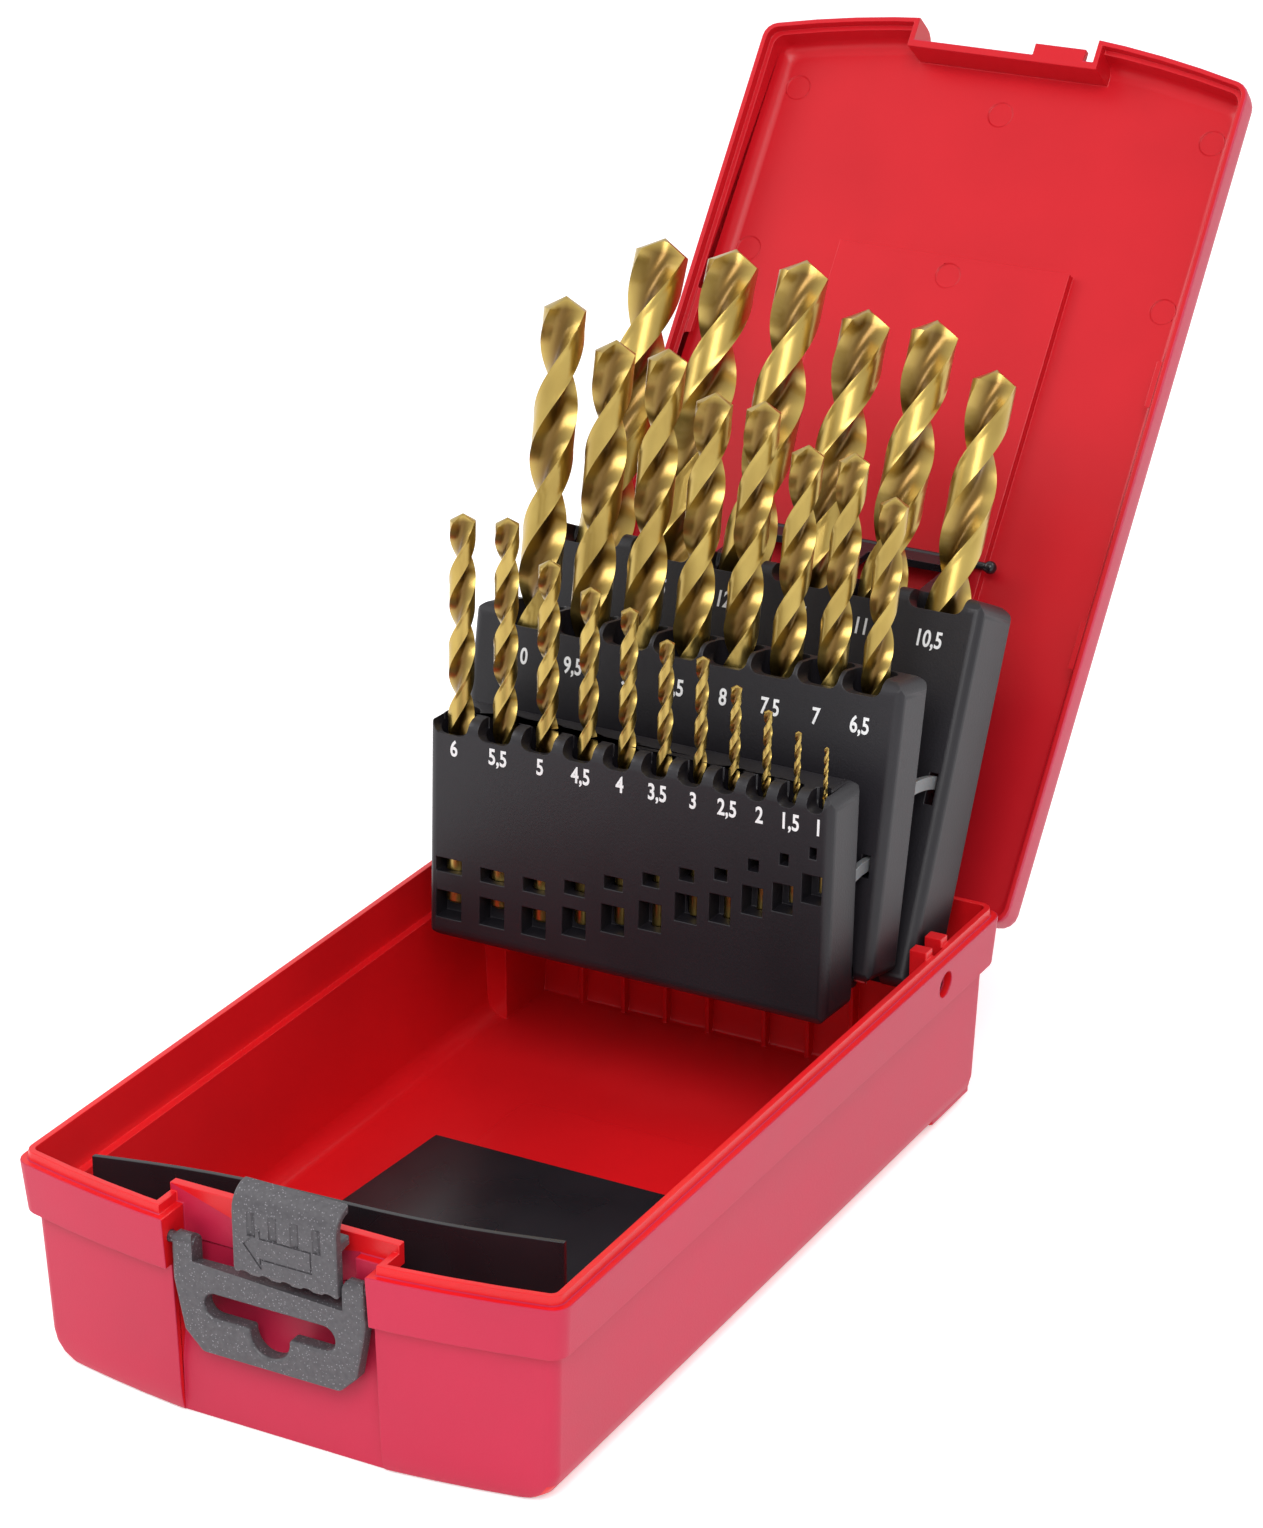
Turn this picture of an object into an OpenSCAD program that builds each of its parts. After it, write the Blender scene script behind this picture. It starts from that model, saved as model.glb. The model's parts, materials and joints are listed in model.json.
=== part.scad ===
// Drill bit case: a hinged two-part box with three tilting inserts that hold
// twenty-five twist drills, shown with its lid open and the inserts raised.
// Millimetres. X runs along the hinge, Y towards the hinge, Z up.
// The origin is the middle of the base's underside.

/* [Case] */
// Width of the case along the hinge
case_w = 130; // [124:1:150]
// Depth of the base between its front corners and its rear wall
case_d = 205; // [190:1:220]
// How far the middle of the front bows forward
front_bow = 8; // [5:0.5:10]
// Radius of the upright corners
corner_r = 4; // [3:0.5:5]
// Height of the shoulder that the lid's rim closes on
shoulder_z = 47; // [46:0.5:49]
// Height of the locating lip above the shoulder
lip_h = 2.2; // [1.5:0.1:2.4]
// Set-back of the locating lip from the outside
lip_inset = 1.6; // [1.5:0.1:2]
// Thickness of the locating lip
lip_t = 1.6; // [1.2:0.1:2]
// Underside of the collar that runs round the base
collar_z = 35.2; // [30:0.2:38]
// Set-back of the body below the collar
body_inset = 3; // [2:0.1:3.5]
// Taper of the body from the collar to the floor
body_draft = 1.3; // [0.5:0.1:2]
// Wall thickness of the base
base_wall = 2.2; // [1.6:0.1:2.6]
// Floor thickness of the base
floor_t = 2.2; // [1.6:0.1:3]
// Radius of the long lower edges of the base
edge_r = 6.5; // [4:0.5:8]

/* [Front recess] */
// Width of the recess that holds the latch and the hang tab
recess_w = 48; // [46:1:50]
// Depth position of the recess wall, measured back from the front corners
recess_back = 1.3; // [0.8:0.1:2]
// Height of the raised wall behind the latch
recess_top = 51; // [50:0.5:52]
// Thickness of the recess wall
recess_wall = 2; // [1.6:0.1:2.4]

/* [Tray floor] */
// Half width of the raised part of the floor
floor_half = 48.2; // [46:0.2:50]
// Height of each step in the floor
floor_step = 0.4; // [0.2:0.1:0.6]
// Half width of the pad in the middle of the floor
mid_half = 28; // [26:0.5:32]
// Rear end of the pad in the middle of the floor
mid_rear = 41.5; // [36:0.5:44]
// Thickness of the ribs on the rear wall
rib_t = 1.2; // [1:0.1:1.6]
// Depth of the ribs on the rear wall
rib_d = 2; // [1:0.1:2.4]
// Distance between the ribs on the rear wall
rib_step = 11.5; // [10:0.5:13]
// Height of the pillars in the rear corners
pillar_h = 23; // [16:0.5:24]

/* [Lid] */
// Height of the closed lid's top above the floor plane
lid_top = 59.2; // [58.5:0.1:62]
// Thickness of the lid's panel
lid_panel = 2; // [1.6:0.1:2.4]
// Wall thickness of the lid
lid_wall = 2.6; // [2:0.1:3]
// Thickness of the skirt that goes over the lip
skirt_t = 1.35; // [1:0.05:1.4]
// Radius of the lid's long outer edges
lid_edge_r = 6; // [4:0.5:7]
// Angle to which the lid opens
lid_open = 127.5; // [110:0.5:130]
// Width of the raised field inside the lid
field_w = 62; // [56:1:64]
// Height of the raised field inside the lid
field_h = 2.4; // [1.5:0.1:2.6]
// Length of the lid's raised field in front of the hinge
field_len = 157; // [150:1:160]

// Sideways distance of the round marks inside the lid
mark_x = 55.9; // [54:0.1:56.5]
// Radius of the round marks inside the lid
mark_r = 3.2; // [2.4:0.1:3.6]

/* [Hinge] */
// Distance of the hinge axis behind the base's rear wall
hinge_back = 2.9; // [2.8:0.1:3.2]
// Height of the hinge axis
hinge_z = 46.6; // [46:0.1:47]
// Outer radius of the hinge knuckles
knuckle_r = 2.5; // [2.2:0.1:2.6]
// Diameter of the hinge pins
hinge_pin_d = 2.6; // [2:0.1:2.8]
// Length of one lid knuckle
knuckle_len = 8; // [6:0.5:12]
// Distance of each hinge from the middle
hinge_x = 38; // [30:1:44]
// Length of each base knuckle
base_knuckle = 3.7; // [3:0.1:5]

/* [Inserts] */
// Lean of the rear insert when the case is open
lean_rear = 25; // [20:1:26]
// Angle between the rear and the middle insert when open
fan_middle = 13; // [8:1:14]
// Angle between the middle and the front insert when open
fan_front = 9; // [6:1:10]
// Distance of the inserts' pivot in front of the base's rear wall
pivot_back = 30.1; // [29:0.1:32]
// Height of the inserts' pivot
pivot_z = 41.4; // [41:0.1:42]
// Height of the rear insert above the pivot
rear_h = 82; // [80:0.5:84]
// Thickness of the rear insert at its sides
rear_t = 19.4; // [19:0.1:19.6]
// Room between the rear insert and each side of the case
side_room = 8; // [7.5:0.1:9]
// Height of the middle insert above the pivot
middle_h = 65.5; // [64:0.5:67]
// Thickness of the middle insert
middle_t = 14.6; // [14.2:0.1:14.8]
// Step in from the rear to the middle insert at each side
middle_step = 2.5; // [1.5:0.1:3.5]
// Height of the front insert above the pivot
front_h = 46; // [45:0.5:48]
// Thickness of the front insert
front_t = 15; // [14.4:0.1:15.2]
// Step in from the middle to the front insert at each side
front_step = 3.5; // [2:0.1:4.5]
// Gap between neighbouring inserts when they lie folded
fold_gap = 0.5; // [0.4:0.1:0.8]
// Radius of the inserts' rounded edges
insert_r = 4; // [3:0.5:4.5]
// Diameter of the pivot pins
pivot_d = 5; // [4:0.1:5.4]
// Diameter of the wires that hinge the inserts together
wire_d = 2; // [1.6:0.1:2.2]
// Radius of the lugs on those wires
lug_r = 2.6; // [2.2:0.1:2.8]
// Width of each lug
lug_w = 3; // [2:0.5:4]
// Distance of the lugs from the front insert's sides
lug_edge = 3; // [2.5:0.1:4]
// Widening of a socket's mouth in the rear and middle rows, all round
mouth = 1.6; // [1:0.1:2]
// Depth of a socket's mouth
mouth_deep = 5; // [3:0.5:8]
// Clearance round a drill in its socket
socket_gap = 0.15; // [0.1:0.05:0.3]

/* [Drills] */
// Wall beside the outer sockets of the front insert
front_edge = 3.25; // [2.5:0.05:4]
// Wall beside the outer sockets of the middle insert
middle_edge = 7.15; // [6:0.05:8]
// Wall beside the outer sockets of the rear insert
rear_edge = 6.25; // [5.5:0.05:7]
// Point angle of the drills
point_angle = 118; // [110:1:135]
// Helix lead of the flutes in drill diameters
lead = 5.44; // [4.5:0.1:7]

/* [Lift link] */
// Distance of the link's rod above the pivot
link_u = 76; // [74:0.5:77]
// Distance of the link's rod behind the pivot
link_v = 11.7; // [11.4:0.1:11.9]
// Length of the link from its rod to its ball pins
link_len = 44.9; // [40:0.1:48]
// Width of the link's plate
link_w = 58; // [50:1:60]
// Thickness of the link's plate
link_t = 2; // [1.6:0.1:2.2]
// Angle of the open link from the rear insert
link_open = 63.3; // [60:0.1:66]
// Diameter of the link's rod
rod_d = 1.8; // [1.5:0.1:2]
// Radius of the balls that run beside the lid's field
ball_r = 1.6; // [1.2:0.1:1.7]
// Diameter of the pins that carry the balls
ball_pin_d = 2; // [1.6:0.1:2.2]

/* [Latch] */
// Width of the latch slider
slider_w = 24.6; // [22:0.2:26]
// Left end of the slider when it is locked
slider_x = -7.2; // [-8:0.1:-6.5]
// Travel of the slider to the left
slider_travel = 10.2; // [9:0.1:10.4]
// Front plate thickness of the slider
slider_t = 2.2; // [1.8:0.1:2.4]
// Upper end of the slider
slider_top = 58.8; // [57:0.1:60]
// Width of the arrow's lines
arrow_w = 0.45; // [0.3:0.05:0.6]
// Depth of the arrow's lines
arrow_deep = 0.25; // [0.1:0.05:0.4]
// Lower end of the slider's front plate
slider_bottom = 39.8; // [39:0.1:41]
// Length of the slider's neck through the wall
neck_w = 10; // [8:0.5:10]
// Height of the slider's neck
neck_h = 3; // [2:0.1:3.4]
// Width of the lid's catch
catch_w = 13.5; // [12:0.5:14]
// Right end of the lid's catch
catch_x = 21.5; // [21:0.1:22]

/* [Hang tab] */
// Height of the tab's axis
tab_z = 41.9; // [41:0.1:42.5]
// Distance of the tab's axis in front of the recess wall
tab_out = 4.9; // [4.6:0.1:5.2]
// Thickness of the tab
tab_t = 3.8; // [3:0.1:4]
// Width across the tab's arms
tab_w = 45.6; // [44:0.2:46]
// Width of each arm
tab_arm = 5; // [4:0.2:5.4]
// Lower end of the tab
tab_bottom = 18; // [16:0.5:20]
// Upper edge of the crossbar
tab_bar = 37.8; // [36:0.2:38.4]
// Diameter of the tab's pivots
tab_pin_d = 2.4; // [2:0.1:2.8]

/* [Clearances] */
// Gap between faces of different moving pieces
gap = 0.3; // [0.25:0.05:0.4]
// Radial clearance of a running pin
run = 0.05; // [0.02:0.01:0.1]

/* [Hidden] */
DRILL_SIZES = [for (i = [2:26]) i / 2];
FRONT_ROW = [6, 5.5, 5, 4.5, 4, 3.5, 3, 2.5, 2, 1.5, 1];
MIDDLE_ROW = [10, 9.5, 9, 8.5, 8, 7.5, 7, 6.5];
REAR_ROW = [13, 12.5, 12, 11.5, 11, 10.5];
// Socket depths of the front row, and the two rows of sight windows: depth
// below the insert's top, width and height of each
FRONT_DEPTH = [42, 41, 42, 40.4, 38.3, 39, 32.2, 33.3, 29.5, 24, 20.3];
WINDOW_UP = [32, 32.3, 32.2, 30.5, 27.1, 24.3, 21.1, 19.1, 15.3, 12.3, 9.4];
WINDOW_LOW = [41.7, 41.2, 41.1, 38.9, 35.9, 33.1, 29.1, 27.4, 23.7, 21.5, 17.9];
middle_depth = 57.5;
rear_depth = 76.5;

half_w = case_w / 2;
rear_w = case_w - 2 * side_room;
middle_w = rear_w - 2 * middle_step;
front_w = middle_w - 2 * front_step;
lug_x = front_w / 2 - lug_edge;
function total(list, i = 0) = i == len(list) ? 0 : list[i] + total(list, i + 1);
web_front = (front_w - 2 * front_edge - total(FRONT_ROW)) / (len(FRONT_ROW) - 1);
web_middle = (middle_w - 2 * middle_edge - total(MIDDLE_ROW)) / (len(MIDDLE_ROW) - 1);
web_rear = (rear_w - 2 * rear_edge - total(REAR_ROW)) / (len(REAR_ROW) - 1);
half_d = case_d / 2;
in_wall = lip_inset + lip_t;
step_z = collar_z + base_wall;
recess_y = -half_d + recess_back;
rx = recess_w / 2;
axis_y = half_d + hinge_back;
lid_rim = shoulder_z + gap;
lid_rear = hinge_back + knuckle_r + gap + skirt_t;
lid_floor = lid_top - lid_panel;
lid_notch_y = recess_y - gap;
lid_notch_t = 1.9;
piv_y = half_d - pivot_back;
// Faces of the inserts, measured back from the pivot along the fold
rear_front_v = -4.6;
rear_back_v = rear_front_v + rear_t;
relief_v = 9.9;
relief_x = link_w / 2 + 3.5;
middle_back_v = rear_front_v - fold_gap;
middle_front_v = middle_back_v - middle_t;
front_back_v = middle_front_v - fold_gap;
front_front_v = front_back_v - front_t;
rear_drill_v = 3.2;
middle_drill_v = middle_front_v + middle_t / 2;
front_drill_v = front_front_v + 5;
hinge1 = [0, rear_front_v + 2.4, 1.5];
hinge2 = [0, middle_front_v + 2.4, 1.5];
tab_y = recess_y - tab_out;
slider_front = -half_d - front_bow + 1.5;
catch_top = lid_rim + 2.2;
nc = 4;
nb = 12;

// y of the bowed front at x
function front_y(x) = -(half_d + front_bow * (1 - pow(x / half_w, 2)));

// Plan outline of the case, set in by ix at the sides, by iyf at the front and
// by iyr at the rear, with corner radius r
function outline(ix, iyf, iyr, r) =
    let (ph = atan(4 * front_bow / case_w), cx = half_w - ix - r,
         xt = cx + r * sin(ph), cy = front_y(xt) + iyf + r * cos(ph),
         ry = half_d - iyr - r)
    concat(
        [for (k = [0:nc]) let (a = (k / nc - 1) * (90 - ph)) [cx + r * cos(a), cy + r * sin(a)]],
        [for (k = [0:nc]) let (a = 90 * k / nc) [cx + r * cos(a), ry + r * sin(a)]],
        [for (k = [0:nc]) let (a = 90 + 90 * k / nc) [-cx + r * cos(a), ry + r * sin(a)]],
        [for (k = [0:nc]) let (a = 180 + k / nc * (90 - ph)) [-cx + r * cos(a), cy + r * sin(a)]],
        [for (k = [1:nb - 1]) let (x = xt * (2 * k / nb - 1)) [x, front_y(x) + iyf]]);

// A solid through rings of equal length, each given as [z, outline]
module loft(rings) {
    n = len(rings[0][1]);
    m = len(rings);
    pts = [for (r = rings) for (p = r[1]) [p[0], p[1], r[0]]];
    faces = concat(
        [[for (i = [0:n - 1]) i]],
        [[for (i = [0:n - 1]) m * n - 1 - i]],
        [for (j = [0:m - 2]) for (i = [0:n - 1])
            [j * n + i, (j + 1) * n + i, (j + 1) * n + (i + 1) % n, j * n + (i + 1) % n]]);
    polyhedron(points = pts, faces = faces, convexity = 6);
}

// A rectangle with rounded corners from (x0, y0) to (x1, y1)
module round_rect(x0, y0, x1, y1, r) {
    translate([x0 + r, y0]) square([x1 - x0 - 2 * r, y1 - y0]);
    translate([x0, y0 + r]) square([x1 - x0, y1 - y0 - 2 * r]);
    for (x = [x0 + r, x1 - r], y = [y0 + r, y1 - r])
        translate([x, y]) circle(r = r, $fn = 32);
}

// A cylinder along X from x0 to x1
module rod_x(x0, x1, d) {
    translate([x0, 0, 0]) rotate([0, 90, 0]) cylinder(h = x1 - x0, d = d, $fn = 48);
}

// A profile in the (y, z) plane, extruded along X from x0 to x1
module along_x(x0, x1) {
    translate([x0, 0, 0]) rotate([90, 0, 90]) linear_extrude(height = x1 - x0) children();
}

// ---------------------------------------------------------------- base

function body_ring(z, extra_x, extra_y, wall, r) =
    let (i = body_inset + body_draft * (1 - z / collar_z) + wall)
    [z, outline(i + extra_x, i + extra_y, i + extra_y, r)];

base_rings = concat(
    [for (k = [0:4]) let (a = 90 * k / 4)
        body_ring(edge_r * (1 - cos(a)), edge_r * (1 - sin(a)), 1.2 * (1 - sin(a)), 0, corner_r - 1)],
    [body_ring(collar_z, 0, 0, 0, corner_r - 1)],
    [[collar_z, outline(0.9, 0.9, 0.9, corner_r)]],
    [[shoulder_z, outline(0, 0, 0, corner_r)]],
    [[shoulder_z, outline(lip_inset, lip_inset, lip_inset, corner_r - 1)]],
    [[shoulder_z + lip_h, outline(lip_inset + 0.1, lip_inset + 0.1, lip_inset + 0.1, corner_r - 1)]]);

inner_r = edge_r - base_wall;
cavity_rings = concat(
    [for (k = [0:3]) let (a = 90 * k / 3, z = floor_t + inner_r * (1 - cos(a)))
        body_ring(z, inner_r * (1 - sin(a)), 0.8 * (1 - sin(a)), base_wall, 1.5)],
    [body_ring(step_z, 0, 0, base_wall, 1.5)],
    [[step_z, outline(in_wall, in_wall, in_wall, 1.5)]],
    [[shoulder_z + lip_h + 1, outline(in_wall, in_wall, in_wall, 1.5)]]);

// y of the recess wall's face: a flat band at the top, then a hollow that
// sweeps forward to the foot
panel_out = 2.6;
function panel_y(z) = recess_y + (z > 28 ? 0.3 : z < 10 ? -panel_out
    : 0.3 - (panel_out + 0.3) * (1 - cos(10 * (28 - z))) / 2);

module recess_profile(back, top) {
    far = -half_d - front_bow - 5;
    polygon(concat(
        [[far, -1], [panel_y(0) + back, -1]],
        [for (z = [10:3:28]) [panel_y(z) + back, z]],
        [[panel_y(30) + back, 39.5], [recess_y + back, 39.5]],
        [[recess_y + back, top], [far, top]]));
}

mid_front = 62;
pillar_x = 53.5;
pillar_y = half_d - 25;
bear_x0 = rear_w / 2 + 0.9;
bear_r = 5.6;

// Fork in the side wall that carries one pivot pin of the rear insert
module bearing_fork() {
    intersection() {
        along_x(bear_x0, half_w - 1.5)
            polygon([[piv_y - bear_r, 30], [piv_y + bear_r, 30],
                [piv_y + bear_r, recess_top], [piv_y - bear_r, recess_top]]);
        union() {
            translate([bear_x0, piv_y - bear_r, 30]) cube([half_w, 2 * bear_r, shoulder_z - 30]);
            translate([bear_x0, piv_y - bear_r, shoulder_z - 1])
                cube([half_w - lid_wall - gap - bear_x0, 2 * bear_r, recess_top - shoulder_z + 1]);
        }
    }
}

// One of the base's hinge knuckles with the gusset that ties it to the wall
module base_knuckle_at(x0) {
    difference() {
        union() {
            translate([0, axis_y, hinge_z]) rod_x(x0, x0 + base_knuckle, 2 * knuckle_r);
            along_x(x0, x0 + base_knuckle)
                polygon([[half_d - 1, hinge_z - 2.2], [half_d - 1, hinge_z + 1.2],
                    [axis_y, hinge_z + 1.2], [axis_y, hinge_z - 2.2]]);
        }
        translate([0, axis_y, hinge_z]) rod_x(x0 - 1, x0 + base_knuckle + 1, hinge_pin_d + 2 * run);
    }
}

slot_z = 42.5;
slot_h = neck_h + 2 * gap;

module base_shell() color([0.78, 0.12, 0.15]) {
    difference() {
        union() {
            difference() {
                loft(base_rings);
                difference() {
                    loft(cavity_rings);
                    along_x(-rx - base_wall, rx + base_wall) recess_profile(recess_wall, shoulder_z);
                    along_x(-rx - in_wall, rx + in_wall)
                        polygon([[-half_d - 20, shoulder_z - 1], [recess_y + recess_wall, shoulder_z - 1],
                            [recess_y + recess_wall, shoulder_z + 9], [-half_d - 20, shoulder_z + 9]]);
                }
                along_x(-rx, rx) recess_profile(0, shoulder_z + 9);
                translate([-rx - lip_inset, -half_d - 20, shoulder_z])
                    cube([recess_w + 2 * lip_inset, 20 + half_d + recess_y, 9]);
                translate([-rx - lip_inset - 3, recess_y - 20 + 1.2, shoulder_z + lip_h + 0.2])
                    cube([recess_w + 2 * lip_inset + 6, 20, 9]);
            }
            // raised wall behind the latch
            translate([-rx - in_wall, recess_y, shoulder_z - 0.5])
                cube([recess_w + 2 * in_wall, recess_wall, recess_top - shoulder_z + 0.5]);
            for (s = [0, 1]) mirror([s, 0, 0]) bearing_fork();
            for (s = [-1, 1]) {
                base_knuckle_at(s * hinge_x - knuckle_len / 2 - gap - base_knuckle);
                base_knuckle_at(s * hinge_x + knuckle_len / 2 + gap);
            }
            // steps in the floor, pillars in the rear corners, ribs on the rear wall
            translate([-floor_half, -half_d + 12, floor_t - 0.3])
                cube([2 * floor_half, case_d - 22, floor_step + 0.3]);
            translate([0, 0, floor_t - 0.3]) linear_extrude(height = 2 * floor_step + 0.3)
                round_rect(-mid_half, -mid_front, mid_half, mid_rear, 3);
            for (s = [0, 1]) mirror([s, 0, 0])
                translate([pillar_x, pillar_y, floor_t - 0.3])
                    cube([half_w - in_wall - 2 - pillar_x, half_d - 5.5 - pillar_y, pillar_h]);
            for (s = [-1, 1], k = [0:3])
                translate([s * (7.6 + k * rib_step) - rib_t / 2, half_d - 6.7 - rib_d, floor_t - 0.3])
                    cube([rib_t, rib_d + 2, 30]);
            // ledge that the lid's catch comes down on
            translate([catch_x - 3.3, recess_y - 2.2, 39.5]) cube([rx - catch_x + 3.8, 2.7, shoulder_z - 39.6]);
        }
        // pivot bores with the snap-in slot above each
        for (s = [0, 1]) mirror([s, 0, 0]) {
            translate([0, piv_y, pivot_z]) rod_x(bear_x0 - 1, half_w - 1.9, pivot_d + 2 * run);
            translate([0, piv_y, pivot_z]) rod_x(half_w - 2.5, half_w + 2, pivot_d + 1.2);
            translate([bear_x0 - 1, piv_y - pivot_d / 2 + 0.25, pivot_z])
                cube([half_w - in_wall + 0.7 - bear_x0 + 1, pivot_d - 0.5, recess_top - pivot_z + 1]);
        }
        // slot for the slider's neck
        translate([slider_x + 7.4 - slider_travel - gap, recess_y - 1, slot_z - gap])
            cube([neck_w + slider_travel + 2 * gap, recess_wall + 2, slot_h]);
        // sockets for the hang tab's pivots
        for (s = [0, 1]) mirror([s, 0, 0])
            translate([0, tab_y, tab_z]) rod_x(rx - 1, rx + 1.9, tab_pin_d + 2 * run);
    }
}

// ----------------------------------------------------------------- lid

module opened() {
    translate([0, axis_y, hinge_z]) rotate([-lid_open, 0, 0]) translate([0, -axis_y, -hinge_z]) children();
}

function lid_ring(z, i, r) = [z, outline(i, i, i - lid_rear, r)];

lid_rings = concat(
    [lid_ring(lid_rim, 0.1, corner_r), lid_ring(lid_rim + 1, 0, corner_r)],
    [for (k = [0:5]) let (a = 90 * k / 5, i = 0.3 + lid_edge_r * (1 - cos(a)))
        lid_ring(lid_top - lid_edge_r * (1 - sin(a)), i, corner_r)]);

lid_in_r = lid_edge_r - lid_wall;
lid_cavity = concat(
    [lid_ring(lid_rim - 1, skirt_t, 3), lid_ring(lid_rim + lip_h + gap, skirt_t, 3)],
    [[lid_rim + lip_h + gap, outline(lid_wall, lid_wall, skirt_t + 0.1 - lid_rear, 3)]],
    [for (k = [0:3]) let (a = 90 * k / 3, i = lid_wall + 0.2 + lid_in_r * (1 - cos(a)))
        [lid_floor - lid_in_r * (1 - sin(a)), outline(i, i, i - lid_wall + skirt_t - lid_rear, 3)]]);

field_z = lid_floor - field_h;
nub_y = [-26, 40];

module lid_knuckle_at(x0) {
    translate([0, axis_y, hinge_z]) rod_x(x0, x0 + knuckle_len, 2 * knuckle_r);
    along_x(x0, x0 + knuckle_len)
        polygon([[axis_y - 1.6, hinge_z + 1.8], [axis_y - 0.4, lid_floor + 0.5],
            [half_d + lid_rear - 0.4, lid_floor + 0.5], [half_d + lid_rear - 0.7, hinge_z + 1.2],
            [axis_y + 1.6, hinge_z + 0.8]]);
}

module lid_body() {
    difference() {
        union() {
            difference() {
                loft(lid_rings);
                difference() {
                    loft(lid_cavity);
                    // walls round the notch for the latch
                    translate([-rx - skirt_t, -half_d - 20, 0])
                        cube([recess_w + 2 * skirt_t, 20 + half_d + lid_notch_y, 80]);
                    // raised field
                    translate([-field_w / 2, axis_y - field_len, field_z])
                        cube([field_w, field_len, 20]);
                }
                translate([-rx, -half_d - 20, 0])
                    cube([recess_w, 20 + half_d + lid_notch_y - lid_notch_t, 80]);
                // shallow panel on the outside behind the raised field
                translate([-field_w / 2 + lid_panel, axis_y - field_len + lid_panel, lid_top - field_h + 0.4])
                    cube([field_w - 2 * lid_panel, field_len - 22, 10]);
            }
            for (s = [-1, 1]) lid_knuckle_at(s * hinge_x - knuckle_len / 2);
            // catch under the slider's hook
            translate([catch_x - catch_w, lid_notch_y - lid_notch_t - 3, lid_rim])
                cube([catch_w, 3.2, catch_top - lid_rim]);
            // nubs that steady the base's side walls
            for (s = [0, 1], y = nub_y) mirror([s, 0, 0])
                along_x(half_w - lid_wall - 1.6, half_w - lid_wall + 0.6)
                    polygon([[y - 6, lid_rim + 2.8], [y + 6, lid_rim + 2.8], [y + 5, lid_rim + 4.4], [y - 5, lid_rim + 4.4]]);
        }
        for (s = [-1, 1])
            translate([0, axis_y, hinge_z])
                rod_x(s * hinge_x - knuckle_len / 2 - 1, s * hinge_x + knuckle_len / 2 + 1, hinge_pin_d + 2 * run);
        // round marks of the tool's ejector pins
        for (x = [-mark_x, 0, mark_x], y = [12, 56])
            translate([x, y - half_d, (x == 0 && y > 30 ? field_z : lid_floor) - 0.5])
                cylinder(h = 0.75, r = mark_r, $fn = 40);
    }
}

module lid_shell() color([0.84, 0.14, 0.18]) opened() lid_body();

module hinge_pins() color([0.7, 0.7, 0.72])
    for (s = [-1, 1])
        translate([0, axis_y, hinge_z])
            rod_x(s * hinge_x - knuckle_len / 2 - gap - base_knuckle, s * hinge_x + knuckle_len / 2 + gap + base_knuckle,
                hinge_pin_d);

// ------------------------------------------------------------- inserts

module rear_frame() translate([0, piv_y, pivot_z]) rotate([-lean_rear, 0, 0]) children();

module middle_frame() rear_frame()
    translate(hinge1) rotate([fan_middle, 0, 0]) translate(-hinge1) children();

module front_frame() middle_frame()
    translate(hinge2) rotate([fan_front, 0, 0]) translate(-hinge2) children();

// A block with rounded edges: width w, v from v0 to v1, u from u0 to u1
module soft_block(w, v0, v1, u0, u1, r) {
    intersection() {
        translate([0, v1 + 1, 0]) rotate([90, 0, 0])
            linear_extrude(height = v1 - v0 + 2) round_rect(-w / 2, u0, w / 2, u1, r);
        along_x(-w / 2 - 1, w / 2 + 1) round_rect(v0, u0, v1, u1, r * 0.85);
        translate([0, 0, u0 - 1]) linear_extrude(height = u1 - u0 + 2)
            round_rect(-w / 2, v0, w / 2, v1, r * 0.6);
    }
}

// x of each socket in a row, from the left edge inwards
function row_x(sizes, web, i) = i == 0 ? 0
    : row_x(sizes, web, i - 1) + sizes[i - 1] / 2 + web + sizes[i] / 2;
function row_mid(sizes, web) = row_x(sizes, web, len(sizes) - 1) / 2;

front_shift = 0.6;
middle_shift = 1.1;
rear_shift = 0.4;
function front_x(i) = row_x(FRONT_ROW, web_front, i) - row_mid(FRONT_ROW, web_front) + front_shift;
function middle_x(i) = row_x(MIDDLE_ROW, web_middle, i) - row_mid(MIDDLE_ROW, web_middle) + middle_shift;
function rear_x(i) = row_x(REAR_ROW, web_rear, i) - row_mid(REAR_ROW, web_rear) + rear_shift;

arm_x = middle_w / 2 - 1.9;
arm_t = 1.4;
arm_w = 3;
arm1_r = 42.5;
arm2_x = front_w / 2 - 1.6;
arm2_r = 26.5;

// Room round the lugs at one wire: a slot in the insert behind
module lug_slots(h) {
    for (s = [-1, 1])
        translate(h) {
            rod_x(s * lug_x - lug_w / 2 - gap, s * lug_x + lug_w / 2 + gap, 2 * (lug_r + gap));
            translate([s * lug_x - lug_w / 2 - gap, -9, -9])
                cube([lug_w + 2 * gap, 9, 9 + lug_r + gap]);
            translate([s * lug_x - lug_w / 2 - gap, -9, -9])
                cube([lug_w + 2 * gap, 9 + lug_r + gap, 9]);
        }
}

// The lugs themselves, reaching back from a face at v
module lugs(h, v) {
    for (s = [-1, 1])
        translate([0, h[1], h[2]]) difference() {
            union() {
                rod_x(s * lug_x - lug_w / 2, s * lug_x + lug_w / 2, 2 * lug_r);
                translate([s * lug_x - lug_w / 2, v - h[1], -lug_r * 0.4])
                    cube([lug_w, h[1] - v, lug_r * 1.4]);
            }
            rod_x(s * lug_x - lug_w, s * lug_x + lug_w, wire_d + 2 * run);
        }
}

link_lug_r = 1.5;
link_lug_t = 4;
link_lug_x = link_w / 2 + gap;

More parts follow.
